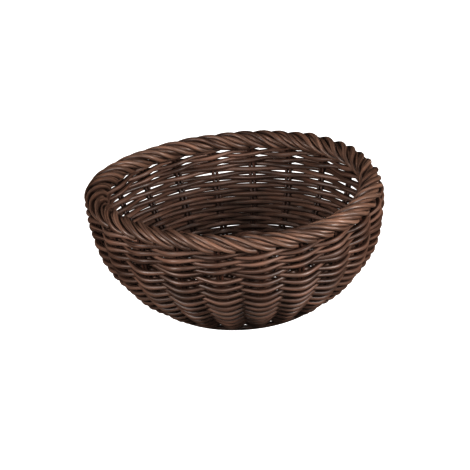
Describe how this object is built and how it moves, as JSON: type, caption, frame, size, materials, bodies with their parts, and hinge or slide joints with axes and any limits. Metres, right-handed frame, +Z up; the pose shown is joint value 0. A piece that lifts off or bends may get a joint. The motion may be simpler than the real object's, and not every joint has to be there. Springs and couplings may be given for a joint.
{
  "type": "fruit basket",
  "caption": "Round bowl-shaped woven fruit basket with paired stakes, twined bands under the rim and a thick rolled border.",
  "frame": {"origin": "middle of the flat underside, on the surface that the basket stands on", "axes": "+Z up through the middle of the bowl; +X and +Y lie in the table plane"},
  "size_m": [0.248, 0.248, 0.105],
  "materials": {
    "base": "dark brown ribbed plastic rattan, satin",
    "stakes": "dark brown thin plastic rod, satin",
    "weave": "dark brown ribbed plastic rattan, satin",
    "wale": "dark brown ribbed plastic rattan, satin",
    "border": "dark brown ribbed plastic rattan, satin, worn lighter on top"
  },
  "bodies": {
    "root": {"base_stick_01": "base", "base_stick_02": "base", "base_stick_03": "base", "base_stick_04": "base", "base_stick_05": "base", "base_stick_06": "base", "base_stick_07": "base", "base_stick_08": "base", "base_stick_09": "base", "base_stick_10": "base", "base_stick_11": "base", "base_weave_lower": "base", "base_weave_upper": "base", "stake_pair_01": "stakes", "stake_pair_02": "stakes", "stake_pair_03": "stakes", "stake_pair_04": "stakes", "stake_pair_05": "stakes", "stake_pair_06": "stakes", "stake_pair_07": "stakes", "stake_pair_08": "stakes", "stake_pair_09": "stakes", "stake_pair_10": "stakes", "stake_pair_11": "stakes", "stake_pair_12": "stakes", "stake_pair_13": "stakes", "stake_pair_14": "stakes", "stake_pair_15": "stakes", "stake_pair_16": "stakes", "stake_pair_17": "stakes", "stake_pair_18": "stakes", "stake_pair_19": "stakes", "stake_pair_20": "stakes", "stake_pair_21": "stakes", "stake_pair_22": "stakes", "side_weave_lower_outer": "weave", "side_weave_lower_inner": "weave", "side_weave_middle_outer": "weave", "side_weave_middle_inner": "weave", "side_weave_upper_outer": "weave", "side_weave_upper_inner": "weave", "wale_lower_outer": "wale", "wale_lower_inner": "wale", "wale_middle_outer": "wale", "wale_middle_inner": "wale", "wale_upper_outer": "wale", "wale_upper_inner": "wale", "border_roll": "border"}
  },
  "joints": []
}
